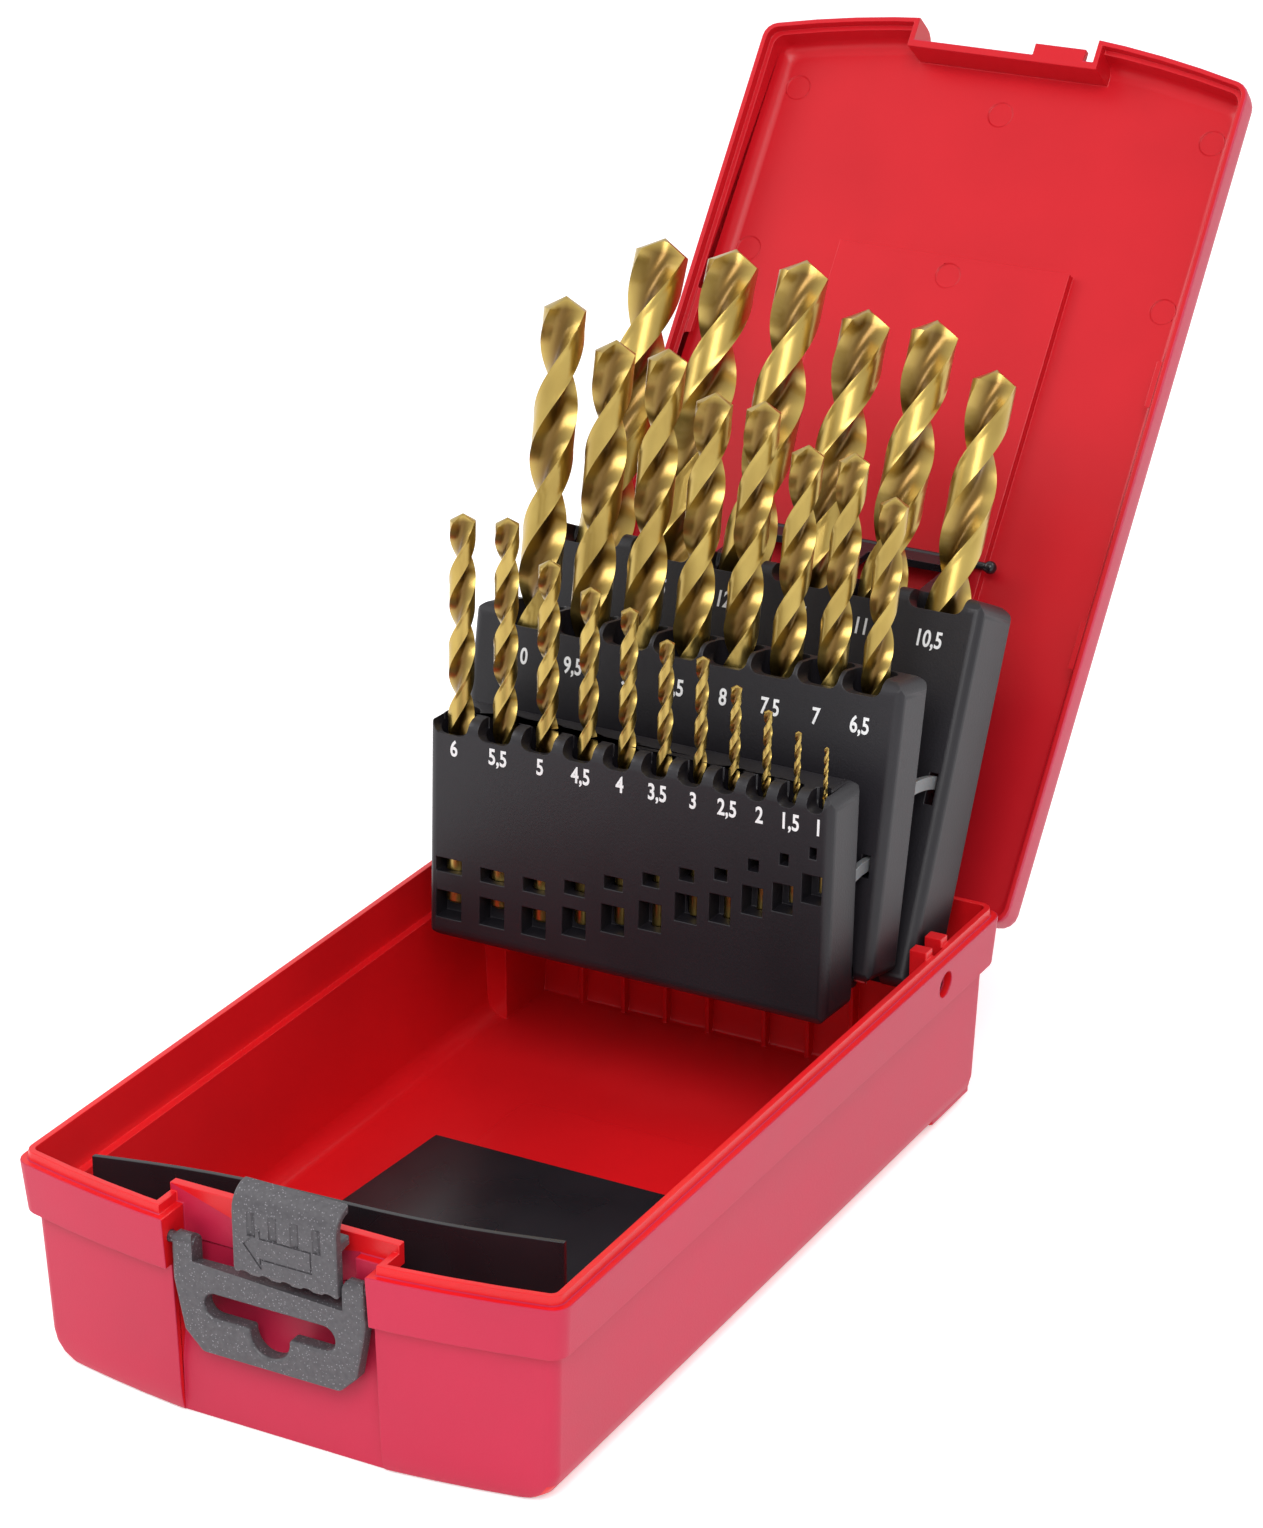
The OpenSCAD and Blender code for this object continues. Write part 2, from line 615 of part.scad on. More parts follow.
module insert_rear() color([0.14, 0.13, 0.15]) rear_frame() difference() {
    union() {
        difference() {
            soft_block(rear_w, rear_front_v, rear_back_v, -3, rear_h, insert_r);
            // relief behind the sockets, where the link folds
            translate([-relief_x, relief_v, -10]) cube([2 * relief_x, 20, rear_h + 20]);
        }
        for (s = [0, 1]) mirror([s, 0, 0]) translate([0, link_v, link_u]) {
            rod_x(link_lug_x, link_lug_x + link_lug_t, 2 * link_lug_r);
            translate([link_lug_x, -2, -link_lug_r]) cube([link_lug_t, 2, 2 * link_lug_r]);
        }
    }
    for (i = [0:len(REAR_ROW) - 1])
        translate([rear_x(i), rear_drill_v, rear_h - rear_depth])
            cylinder(h = rear_depth + 5, d = REAR_ROW[i] + 2 * socket_gap, $fn = 48);
    // wide mouths, which the relief limits in the middle sockets
    for (i = [0:len(REAR_ROW) - 1])
        translate([rear_x(i), rear_drill_v, rear_h - mouth_deep])
            cylinder(h = mouth_deep + 5, $fn = 48, r = min(REAR_ROW[i] / 2 + mouth + 0.4,
                abs(rear_x(i)) > relief_x ? rear_drill_v - rear_front_v - 0.6 : relief_v - rear_drill_v - 0.15));
    lug_slots(hinge1);
    translate(hinge1) rod_x(-rear_w / 2 + 5.4, rear_w / 2 - 5.4, wire_d);
    translate([0, link_v, link_u]) rod_x(-relief_x - 3, relief_x + 3, rod_d);
    rod_x(-rear_w / 2 - 1, -rear_w / 2 + 5, pivot_d);
    rod_x(rear_w / 2 - 5, rear_w / 2 + 1, pivot_d);
    // windows for the check arms of the middle insert
    for (s = [0, 1]) mirror([s, 0, 0])
        translate([arm_x - gap, rear_front_v - 1, hinge1[2] + arm1_r - arm_w / 2 - 3.6])
            cube([arm_t + 2 * gap, rear_t + 2, arm_w + 4.2]);
}

module insert_middle() color([0.15, 0.14, 0.16]) middle_frame() difference() {
    soft_block(middle_w, middle_front_v, middle_back_v, 0.5, middle_h, insert_r);
    for (i = [0:len(MIDDLE_ROW) - 1])
        translate([middle_x(i), middle_drill_v, middle_h - middle_depth])
            cylinder(h = middle_depth + 5, d = MIDDLE_ROW[i] + 2 * socket_gap, $fn = 48);
    for (i = [0:len(MIDDLE_ROW) - 1])
        translate([middle_x(i), middle_drill_v, middle_h - mouth_deep])
            cylinder(h = mouth_deep + 5, r = min(MIDDLE_ROW[i] / 2 + mouth, middle_t / 2 - 0.7), $fn = 48);
    lug_slots(hinge2);
    translate(hinge2) rod_x(-middle_w / 2 + 2, middle_w / 2 - 2, wire_d);
    translate(hinge1) rod_x(-rear_w / 2 + 2, rear_w / 2 - 2, wire_d + 2 * run);
    // sockets for the check arms, and windows for those of the front insert
    for (s = [0, 1]) mirror([s, 0, 0]) {
        translate([arm_x, middle_back_v - 4, hinge1[2] + arm1_r - arm_w / 2 - 1])
            cube([arm_t, 5, arm_w + 1]);
        translate([arm2_x - gap, middle_front_v - 1, hinge2[2] + arm2_r - arm_w / 2 - 1.6])
            cube([arm_t + 2 * gap, middle_t + 2, arm_w + 2.2]);
    }
}

module insert_front() color([0.16, 0.15, 0.17]) front_frame() difference() {
    intersection() {
        soft_block(front_w, front_front_v, front_back_v, -4.5, front_h, insert_r);
        // the back falls away below the wire so that the insert can tilt
        along_x(-front_w, front_w)
            polygon([[front_front_v - 1, -9], [front_back_v - 1.5, -9], [front_back_v - 1.3, -4.5],
                [front_back_v, 0], [front_back_v, front_h + 1], [front_front_v - 1, front_h + 1]]);
    }
    for (i = [0:len(FRONT_ROW) - 1])
        translate([front_x(i), front_drill_v, front_h - FRONT_DEPTH[i]])
            cylinder(h = FRONT_DEPTH[i] + 5, d = FRONT_ROW[i] + 2 * socket_gap, $fn = 48);
    for (i = [0:len(FRONT_ROW) - 1])
        translate([front_x(i), front_drill_v, front_h - mouth_deep])
            cylinder(h = mouth_deep + 5, r = 0.8 + 0.59 * FRONT_ROW[i], $fn = 40);
    translate(hinge2) rod_x(-front_w / 2 - 5, front_w / 2 + 5, wire_d + 2 * run);
    // two sight windows to each drill
    for (i = [0:len(FRONT_ROW) - 1]) {
        t = i / (len(FRONT_ROW) - 1);
        w1 = 6.7 - 5 * t;
        h1 = 3.4 - 0.7 * t;
        w2 = 6.6 - 1.8 * t;
        h2 = 6.7;
        translate([front_x(i) - w1 / 2, front_front_v - 1, front_h - WINDOW_UP[i] - h1 / 2])
            cube([w1, front_drill_v - front_front_v + 1, h1]);
        translate([front_x(i) - w2 / 2, front_front_v - 1, front_h - WINDOW_LOW[i] - h2 / 2])
            cube([w2, front_drill_v - front_front_v + 1, h2]);
    }
    for (s = [0, 1]) mirror([s, 0, 0])
        translate([arm2_x, front_back_v - 4, hinge2[2] + arm2_r - arm_w / 2 - 0.6])
            cube([arm_t, 5, arm_w + 0.6]);
}

module lugs_middle() color([0.15, 0.14, 0.16]) middle_frame() lugs(hinge1, middle_back_v);

module lugs_front() color([0.16, 0.15, 0.17]) front_frame() lugs(hinge2, front_back_v);

module insert_pivot_pins() color([0.72, 0.72, 0.74]) rear_frame() {
    rod_x(-bear_x0 - 4, -rear_w / 2 + 5, pivot_d);
    rod_x(rear_w / 2 - 5, bear_x0 + 4, pivot_d);
}

module hinge_wire_rear() color([0.72, 0.72, 0.74]) rear_frame()
    translate(hinge1) rod_x(-rear_w / 2 + 5.4, rear_w / 2 - 5.4, wire_d);

module hinge_wire_front() color([0.72, 0.72, 0.74]) middle_frame()
    translate(hinge2) rod_x(-middle_w / 2 + 2, middle_w / 2 - 2, wire_d);

// A strap of radius r about a wire, from angle a0 to a1 measured from straight
// up towards the insert behind, with a stop at its free end
module check_arm(h, r, x, a0, a1) {
    for (s = [0, 1]) mirror([s, 0, 0])
        translate([x, h[1], h[2]]) rotate([90, 0, 90]) linear_extrude(height = arm_t)
            polygon(concat(
                [for (k = [0:8]) let (a = 90 - a0 - (a1 - a0) * k / 8) (r + arm_w / 2) * [cos(a), sin(a)]],
                [for (k = [8:-1:0]) let (a = 90 - a0 - (a1 - a0) * k / 8) (r - arm_w / 2) * [cos(a), sin(a)]]));
}

module check_arms_rear() color([0.85, 0.85, 0.83]) middle_frame()
    check_arm(hinge1, arm1_r, arm_x, -atan(6.2 / arm1_r), fan_middle - 1.5);

module check_arms_front() color([0.85, 0.85, 0.83]) front_frame()
    check_arm(hinge2, arm2_r, arm2_x, -atan(6.2 / arm2_r), fan_front);

// ----------------------------------------------------------- lift link

module link_frame() rear_frame() translate([0, link_v, link_u]) rotate([-link_open, 0, 0]) children();

ball_x = field_w / 2 + ball_r + 0.8;

module lift_link() color([0.12, 0.12, 0.13]) link_frame() difference() {
    union() {
        rod_x(-link_w / 2, link_w / 2, 2 * link_lug_r);
        translate([-link_w / 2, -link_t / 2, 0]) cube([link_w, link_t, link_len]);
        translate([0, 0, link_len]) {
            rod_x(-link_w / 2, link_w / 2, link_t + 0.6);
            rod_x(-ball_x, ball_x, ball_pin_d);
            for (s = [-1, 1]) translate([s * ball_x, 0, 0]) sphere(r = ball_r, $fn = 24);
        }
    }
    rod_x(-link_w, link_w, rod_d + 2 * run);
    // opening that leaves a frame with a middle bar
    for (s = [-1, 1])
        translate([s * link_w / 4 - link_w / 4 + 4, -5, 8]) cube([link_w / 2 - 8, 10, link_len - 14]);
}

module link_rod() color([0.72, 0.72, 0.74]) rear_frame()
    translate([0, link_v, link_u]) rod_x(-relief_x - 2.8, relief_x + 2.8, rod_d);

// --------------------------------------------------------------- latch

slider_in = recess_y - gap;
head_end = lid_notch_y - lid_notch_t - gap;
head_r = head_end - slider_front;
curl_r = head_r - slider_t - 0.6;

// Corners of the arrow from the slider's left end and lower edge, by pairs
ARROW = [[[2.9, 7], [6.7, 11.2]], [[6.7, 11.2], [6.7, 9.1]], [[6.7, 9.1], [18.6, 9.1]],
    [[18.6, 9.1], [18.6, 4.4]], [[18.6, 4.4], [6.7, 4.4]], [[6.7, 4.4], [6.7, 2.4]], [[6.7, 2.4], [2.9, 7]]];

// A straight groove in the slider's front from a to b
module arrow_groove(a, b) {
    d = b - a;
    translate([slider_x + a[0], slider_front + arrow_deep, slider_bottom + a[1]])
        rotate([90, -atan2(d[1], d[0]), 0])
            translate([-arrow_w / 2, -arrow_w / 2, 0])
                cube([norm(d) + arrow_w, arrow_w, 1]);
}

module latch_slider() color([0.37, 0.37, 0.39]) {
    x0 = slider_x;
    x1 = slider_x + slider_w;
    difference() {
        // front plate whose head curls back over the lid's notch
        along_x(x0, x1) difference() {
            polygon(concat(
                [[slider_front + 0.4, slider_bottom], [slider_front, slider_bottom + 1]],
                [for (k = [0:6]) let (a = 90 * k / 6)
                    [slider_front + head_r * (1 - cos(a)), slider_top - head_r * (1 - sin(a))]],
                [[head_end, slider_top - 2]],
                [for (k = [5:-1:0]) let (a = 90 * k / 5)
                    [slider_front + slider_t + curl_r * (1 - cos(a)), slider_top - 2 - curl_r * (1 - sin(a))]],
                [[slider_front + slider_t, slider_bottom]]));
        }
        // scalloped lower edge
        for (k = [0:4])
            translate([x0 + slider_w * (k + 0.5) / 5, slider_front - 1, slider_bottom - 1.1])
                rotate([-90, 0, 0]) cylinder(h = slider_t + 2, r = 1.8, $fn = 32);
        // outline of an arrow that points the way the slider opens
        for (p = ARROW) arrow_groove(p[0], p[1]);
        // grip dimples below the head
        for (k = [0:3])
            translate([x0 + slider_w * (k + 0.9) / 4.8, slider_front - 0.5, slider_top - 7.2])
                cylinder(h = 5.5, r = 1.15, center = true, $fn = 32);
    }
    // hook that lies over the lid's catch
    translate([catch_x - catch_w, slider_front + slider_t - 0.5, catch_top + gap])
        cube([x1 - catch_x + catch_w, head_end - slider_front - slider_t + 0.5, 2]);
    // guide block, neck and foot
    translate([x0 + 7.4, slider_front + slider_t - 0.5, slot_z])
        cube([neck_w, recess_y + recess_wall + gap - slider_front - slider_t + 0.6, neck_h]);
    translate([x0 + 7.4, recess_y + recess_wall + gap, slot_z - 1.3]) cube([neck_w, 1.2, neck_h + 2.6]);
}

// ------------------------------------------------------------ hang tab

tab_r = 2.4;

module tab_outline() {
    half = tab_w / 2;
    low = half - 2.3;
    difference() {
        union() {
            polygon([[-half, tab_bar - 4], [-half, tab_z], [half, tab_z], [half, tab_bar - 4],
                [low, tab_bottom + 4], [low - 4, tab_bottom], [-low + 4, tab_bottom], [-low, tab_bottom + 4]]);
            for (s = [-1, 1])
                translate([s * (half - tab_arm / 2), tab_z]) circle(d = tab_arm, $fn = 32);
            translate([-half + 0.01, tab_z]) square([tab_arm - 0.02, 0.5]);
        }
        translate([-half + tab_arm, tab_bar]) square([tab_w - 2 * tab_arm, 10]);
        // hanging slot with its central dip
        round_rect(-15.5, 26.5, 15.5, 32, 2.7);
        round_rect(-4.6, 22.4, 4.6, 30, 4.5);
    }
}

module hang_tab() color([0.37, 0.37, 0.39]) {
    difference() {
        translate([0, tab_y + tab_t / 2, 0]) rotate([90, 0, 0]) linear_extrude(height = tab_t) tab_outline();
        // soften the arms' ends round the axis
        for (s = [-1, 1])
            translate([s * (tab_w / 2 - tab_arm / 2), tab_y, tab_z]) difference() {
                translate([-tab_arm, -tab_t, 0]) cube([2 * tab_arm, 2 * tab_t, tab_arm]);
                rod_x(-tab_arm - 1, tab_arm + 1, tab_t);
            }
    }
    for (s = [0, 1]) mirror([s, 0, 0])
        translate([0, tab_y, tab_z]) rod_x(tab_w / 2 - tab_arm, rx + 1.8, tab_pin_d);
}

// ----------------------------------------------------------- base pads

pad_t = 1.2;
pad_z = floor_t + 2 * floor_step + gap;
pad_top = 48.6;

pad_x0 = -50;
pad_x1 = 53;

// y of the strip's front face at a share t of its length
function pad_y(t) = recess_y + recess_wall + 3 + 15 * t + 1.6 * sin(360 * t);

// Upright strip behind the front wall that the drill tips face
module tip_pad() color([0.1, 0.09, 0.1])
    translate([0, 0, pad_z]) linear_extrude(height = pad_top - pad_z)
        polygon(concat(
            [for (k = [0:16]) [pad_x0 + (pad_x1 - pad_x0) * k / 16, pad_y(k / 16)]],
            [for (k = [16:-1:0]) [pad_x0 + (pad_x1 - pad_x0) * k / 16, pad_y(k / 16) + pad_t]]));

// Thin sheet that lies on the floor behind the strip
module floor_pad() color([0.1, 0.09, 0.1])
    translate([0, 0, pad_z]) linear_extrude(height = pad_t)
        polygon([[-42, -72], [-36, 15.5], [52, 15.5], [52, -66]]);

// -------------------------------------------------------------- drills

// Overall and flute lengths of the short jobber series by diameter
OVERALL = [34, 40, 49, 57, 61, 70, 75, 80, 86, 93, 93, 101, 109, 109, 117, 117, 125, 125,
    133, 133, 142, 142, 151, 151, 151];
FLUTE = [12, 18, 24, 30, 33, 39, 43, 47, 52, 57, 57, 63, 69, 69, 75, 75, 81, 81,
    87, 87, 94, 94, 101, 101, 101];
rest_gap = 0.1;

function size_index(d) = round(d * 2) - 2;

// Half of a two-flute section as [radius, angle] in shares of the drill's radius
HALF_SECTION = [[1, 0], [1, 35], [1, 68], [0.42, 92], [0.3, 130]];
land = 0.98;

module drill(d) {
    i = size_index(d);
    l = OVERALL[i];
    fl = FLUTE[i];
    r = d / 2;
    tip = r / tan(point_angle / 2);
    sunk = 0.3 * d;
    h = fl + sunk + 1;
    turn = 360 * h / (lead * d);
    translate([0, 0, rest_gap]) {
        cylinder(h = l - fl, r = r, $fn = 48);
        intersection() {
            translate([0, 0, l - fl - sunk])
                linear_extrude(height = h, twist = -turn, slices = round(turn / 31), segments = 10)
                    polygon([for (s = [0, 180]) for (p = HALF_SECTION)
                        land * r * p[0] * [cos(p[1] + s), sin(p[1] + s)]]);
            rotate_extrude($fn = 48)
                polygon([[0, l - fl - sunk - 1], [r + 0.3, l - fl - sunk - 1], [r + 0.3, l - tip - 0.3 / tan(point_angle / 2)], [0, l]]);
        }
    }
}

module front_drill(i) color([0.83, 0.66, 0.25]) front_frame()
    translate([front_x(i), front_drill_v, front_h - FRONT_DEPTH[i]]) drill(FRONT_ROW[i]);
module middle_drill(i) color([0.83, 0.66, 0.25]) middle_frame()
    translate([middle_x(i), middle_drill_v, middle_h - middle_depth]) drill(MIDDLE_ROW[i]);
module rear_drill(i) color([0.83, 0.66, 0.25]) rear_frame()
    translate([rear_x(i), rear_drill_v, rear_h - rear_depth]) drill(REAR_ROW[i]);

base_shell();
lid_shell();
hinge_pins();
latch_slider();
hang_tab();
tip_pad();
floor_pad();
insert_rear();
insert_middle();
insert_front();
lugs_middle();
lugs_front();
insert_pivot_pins();
hinge_wire_rear();
hinge_wire_front();
check_arms_rear();
check_arms_front();
lift_link();
link_rod();
front_drill(10);  // drill_01_0
front_drill(9);  // drill_01_5
front_drill(8);  // drill_02_0
front_drill(7);  // drill_02_5
front_drill(6);  // drill_03_0
front_drill(5);  // drill_03_5
front_drill(4);  // drill_04_0
front_drill(3);  // drill_04_5
front_drill(2);  // drill_05_0
front_drill(1);  // drill_05_5
front_drill(0);  // drill_06_0
middle_drill(7);  // drill_06_5
middle_drill(6);  // drill_07_0
middle_drill(5);  // drill_07_5
middle_drill(4);  // drill_08_0
middle_drill(3);  // drill_08_5
middle_drill(2);  // drill_09_0
middle_drill(1);  // drill_09_5
middle_drill(0);  // drill_10_0
rear_drill(5);  // drill_10_5
rear_drill(4);  // drill_11_0
rear_drill(3);  // drill_11_5
rear_drill(2);  // drill_12_0
rear_drill(1);  // drill_12_5
rear_drill(0);  // drill_13_0
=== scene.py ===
import json
from collections import namedtuple
from functools import partial
from math import atan2, cos, hypot, pi, radians, sin, tan

import bpy
from mathutils import Matrix, Vector

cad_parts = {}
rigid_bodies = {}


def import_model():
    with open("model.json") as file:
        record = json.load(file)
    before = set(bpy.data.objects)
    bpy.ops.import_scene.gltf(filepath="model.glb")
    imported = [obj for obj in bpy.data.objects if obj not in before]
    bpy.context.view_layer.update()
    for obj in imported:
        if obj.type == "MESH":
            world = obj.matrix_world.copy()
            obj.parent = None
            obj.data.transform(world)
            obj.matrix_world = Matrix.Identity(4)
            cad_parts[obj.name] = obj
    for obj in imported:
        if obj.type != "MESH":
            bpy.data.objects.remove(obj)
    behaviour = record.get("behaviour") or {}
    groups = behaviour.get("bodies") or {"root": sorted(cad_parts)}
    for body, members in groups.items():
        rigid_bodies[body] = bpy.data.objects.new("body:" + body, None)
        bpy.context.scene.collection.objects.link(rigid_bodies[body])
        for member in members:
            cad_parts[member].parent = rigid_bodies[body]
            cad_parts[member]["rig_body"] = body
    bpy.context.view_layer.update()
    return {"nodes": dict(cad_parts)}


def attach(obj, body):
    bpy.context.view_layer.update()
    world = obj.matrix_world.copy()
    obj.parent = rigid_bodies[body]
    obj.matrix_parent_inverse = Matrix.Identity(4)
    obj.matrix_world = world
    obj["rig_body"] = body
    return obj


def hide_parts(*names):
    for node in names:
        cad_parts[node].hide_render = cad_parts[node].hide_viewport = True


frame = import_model()

# The view: a tripod camera to the left of the latch, looking down at the open
# case, and the plain table it stands on under soft light.
camera_at = Vector((0.43487, -0.74462, 0.48373))
camera_forward = Vector((-0.443302, 0.803198, -0.397939)).normalized()
camera_up = Vector((-0.188747, 0.350348, 0.917404))
camera_right = camera_forward.cross(camera_up).normalized()
camera_up = camera_right.cross(camera_forward)
bpy.ops.object.camera_add()
camera = bpy.context.object
camera.matrix_world = Matrix((
    (camera_right.x, camera_up.x, -camera_forward.x, camera_at.x),
    (camera_right.y, camera_up.y, -camera_forward.y, camera_at.y),
    (camera_right.z, camera_up.z, -camera_forward.z, camera_at.z),
    (0, 0, 0, 1)))
camera.data.sensor_fit = "VERTICAL"
camera.data.sensor_height = 36
camera.data.lens = 104.285
camera.data.clip_end = 20
bpy.context.scene.camera = camera
bpy.context.scene.view_settings.view_transform = "Standard"


def new_material(name):
    """An empty node material with its tree and its main shader."""
    material = bpy.data.materials.new(name)
    material.use_nodes = True
    tree = material.node_tree
    return material, tree, tree.nodes["Principled BSDF"]


def set_inputs(node, **values):
    """Sets a node's inputs, each named in lower case with underscores."""
    for socket in node.inputs:
        key = socket.name.lower().replace(" ", "_")
        if key in values:
            socket.default_value = values.pop(key)
    assert not values, values


def seen_directly(tree, strength):
    """The strength for rays from the camera, a reflection or glass, and 0 for light."""
    path = tree.nodes.new("ShaderNodeLightPath")
    either = tree.nodes.new("ShaderNodeMath")
    either.operation = "MAXIMUM"
    tree.links.new(path.outputs["Is Camera Ray"], either.inputs[0])
    tree.links.new(path.outputs["Is Glossy Ray"], either.inputs[1])
    any_of = tree.nodes.new("ShaderNodeMath")
    any_of.operation = "MAXIMUM"
    tree.links.new(either.outputs[0], any_of.inputs[0])
    tree.links.new(path.outputs["Is Transmission Ray"], any_of.inputs[1])
    scaled = tree.nodes.new("ShaderNodeMath")
    scaled.operation = "MULTIPLY"
    scaled.inputs[1].default_value = strength
    tree.links.new(any_of.outputs[0], scaled.inputs[0])
    return scaled.outputs[0]


bpy.ops.mesh.primitive_plane_add(size=8, location=(0, 0, -0.0002))
table = bpy.context.object
table.name = "table_top"
table_paint, tree, shader = new_material("table_paint")
set_inputs(shader, base_color=(0.90, 0.90, 0.90, 1), roughness=0.7, specular_ior_level=0.2,
           emission_color=(1, 1, 1, 1))
tree.links.new(seen_directly(tree, 0.42), shader.inputs["Emission Strength"])
table.data.materials.append(table_paint)

# round the table a white studio, a little dimmer where it only gives light
world = bpy.data.worlds.new("studio")
bpy.context.scene.world = world
world.use_nodes = True
tree = world.node_tree
mix = tree.nodes.new("ShaderNodeMix")
mix.data_type = "RGBA"
mix.inputs["A"].default_value = (0.62, 0.62, 0.64, 1)
mix.inputs["B"].default_value = (1, 1, 1, 1)
tree.links.new(seen_directly(tree, 1), mix.inputs["Factor"])
tree.links.new(mix.outputs["Result"], tree.nodes["Background"].inputs["Color"])

for place, aim, size, watts in (
        ((0.5, -1.1, 1.3), (0, 0.05, 0.08), 0.9, 17),
        ((-1.2, -0.3, 0.9), (0, 0.05, 0.1), 0.7, 8),
        ((0.9, 0.9, 1.2), (0, 0.1, 0.1), 0.8, 6)):
    bpy.ops.object.light_add(type="AREA", location=place)
    lamp = bpy.context.object
    lamp.data.size = size
    lamp.data.energy = watts
    lamp.rotation_euler = (Vector(aim) - Vector(place)).to_track_quat("-Z", "Y").to_euler()

bpy.ops.object.select_all(action="DESELECT")

# The base: a red tray moulded in one shot, smooth inside and finely textured
# outside. Its edges are broken by the tool's polish, so each gets a small radius.
mould_edge = 0.00025

# How far apart the CAD mesh's points are welded, and what passes for flat and
# for smooth between two faces
weld = 0.000004
flat_within = radians(0.6)
smooth_within = radians(30)


def show_only(piece):
    """Makes piece the only one selected and the active one."""
    bpy.ops.object.select_all(action="DESELECT")
    piece.select_set(True)
    bpy.context.view_layer.objects.active = piece


def edit_all():
    """Goes to edit mode with the whole mesh selected."""
    bpy.ops.object.mode_set(mode="EDIT")
    bpy.ops.mesh.select_all(action="SELECT")


def select_edges(mesh, chosen):
    """Selects the edges that chosen says, one entry to each, and nothing else."""
    for group in (mesh.vertices, mesh.polygons):
        for element in group:
            element.select = False
    for edge, is_chosen in zip(mesh.edges, chosen):
        edge.select = is_chosen


def round_picked(piece, width, angle, segments, pick):
    """Rounds the sharp edges whose middles pick accepts. Starts in edit mode."""
    bpy.ops.mesh.select_mode(type="EDGE")
    bpy.ops.mesh.select_all(action="DESELECT")
    bpy.ops.mesh.edges_select_sharp(sharpness=radians(angle))
    bpy.ops.object.mode_set(mode="OBJECT")
    points = piece.data.vertices
    select_edges(piece.data, [
        edge.select and pick((points[edge.vertices[0]].co + points[edge.vertices[1]].co) / 2)
        for edge in piece.data.edges])
    bpy.ops.object.mode_set(mode="EDIT")
    bpy.ops.mesh.bevel(offset=width, segments=segments, affect="EDGES", clamp_overlap=False)
    bpy.ops.mesh.select_mode(type="VERT")


def soften(node, name, width, angle=32, segments=2, pick=None, before=None):
    """A piece that stands for a CAD node, with its sharp edges rounded by width.

    With pick, only the edges whose middles it accepts are rounded, and before is
    called on the piece first."""
    source = frame["nodes"][node]
    piece = bpy.data.objects.new(name, source.data.copy())
    bpy.context.scene.collection.objects.link(piece)
    piece.data.materials.clear()
    show_only(piece)
    edit_all()
    bpy.ops.mesh.remove_doubles(threshold=weld)
    if before:
        bpy.ops.object.mode_set(mode="OBJECT")
        before(piece)
        edit_all()
    bpy.ops.mesh.dissolve_limited(angle_limit=flat_within)
    if pick:
        round_picked(piece, width, angle, segments, pick)
    bpy.ops.object.mode_set(mode="OBJECT")
    if not pick:
        bevel = piece.modifiers.new("edges", "BEVEL")
        bevel.width = width
        bevel.segments = segments
        bevel.limit_method = "ANGLE"
        bevel.angle_limit = radians(angle)
        bevel.use_clamp_overlap = False
        bevel.harden_normals = False
        bpy.ops.object.modifier_apply(modifier="edges")
    bpy.ops.object.shade_smooth_by_angle(angle=smooth_within)
    flats = piece.modifiers.new("flats", "WEIGHTED_NORMAL")
    flats.weight = 90
    flats.keep_sharp = True
    bpy.ops.object.modifier_apply(modifier="flats")
    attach(piece, source["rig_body"])
    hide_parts(node)
    return piece


def object_coords(tree, stretch=None):
    """The object's own coordinates, stretched where stretch gives three factors."""
    coords = tree.nodes.new("ShaderNodeTexCoord").outputs["Object"]
    if not stretch:
        return coords
    mapping = tree.nodes.new("ShaderNodeMapping")
    mapping.inputs["Scale"].default_value = stretch
    tree.links.new(coords, mapping.inputs["Vector"])
    return mapping.outputs["Vector"]


def noise(tree, coords, scale, detail=2):
    """A cloudy value from 0 to 1."""
    texture = tree.nodes.new("ShaderNodeTexNoise")
    set_inputs(texture, scale=scale, detail=detail)
    tree.links.new(coords, texture.inputs["Vector"])
    return texture.outputs["Fac"]


def colours(tree, value, dark, pale, low=0, high=1):
    """A colour that goes from dark to pale as value goes from low to high."""
    ramp = tree.nodes.new("ShaderNodeValToRGB")
    for element, position, colour in zip(ramp.color_ramp.elements, (low, high), (dark, pale)):
        element.position = position
        element.color = (*colour, 1)
    tree.links.new(value, ramp.inputs["Fac"])
    return ramp.outputs["Color"]


def vary_roughness(tree, shader, value, low, high):
    """Lets a shader's roughness go from low to high as value goes from 0 to 1."""
    wear = tree.nodes.new("ShaderNodeMapRange")
    set_inputs(wear, to_min=low, to_max=high)
    tree.links.new(value, wear.inputs["Value"])
    tree.links.new(wear.outputs["Result"], shader.inputs["Roughness"])


def add_grain(tree, shader, height, strength, distance=0.0001):
    """Roughens a shader's surface by a height value."""
    bump = tree.nodes.new("ShaderNodeBump")
    set_inputs(bump, strength=strength, distance=distance)
    tree.links.new(height, bump.inputs["Height"])
    tree.links.new(bump.outputs["Normal"], shader.inputs["Normal"])


def moulded_red(name, colour, gloss, grain, shine=0.4):
    """Red moulded plastic: slow colour drift, a fine grain and faint flow marks."""
    material, tree, shader = new_material(name)
    coords = object_coords(tree)
    drift = noise(tree, coords, 22, 3)
    dark = [0.93 * level for level in colour]
    pale = [min(1, 1.06 * level) for level in colour]
    tree.links.new(colours(tree, drift, dark, pale, 0.3, 0.7), shader.inputs["Base Color"])
    add_grain(tree, shader, noise(tree, coords, 2600), grain)
    vary_roughness(tree, shader, drift, gloss - 0.05, gloss + 0.07)
    set_inputs(shader, specular_ior_level=shine)
    return material


inside_red = moulded_red("smooth_red_plastic", (0.70, 0.008, 0.012), 0.30, 0.12)
# the outside red keeps the plastic's real grain, and its pinker tint is a painted sheen
outside_red_sheen_tinted = moulded_red("grained_red_plastic", (0.52, 0.014, 0.055), 0.46, 0.35)

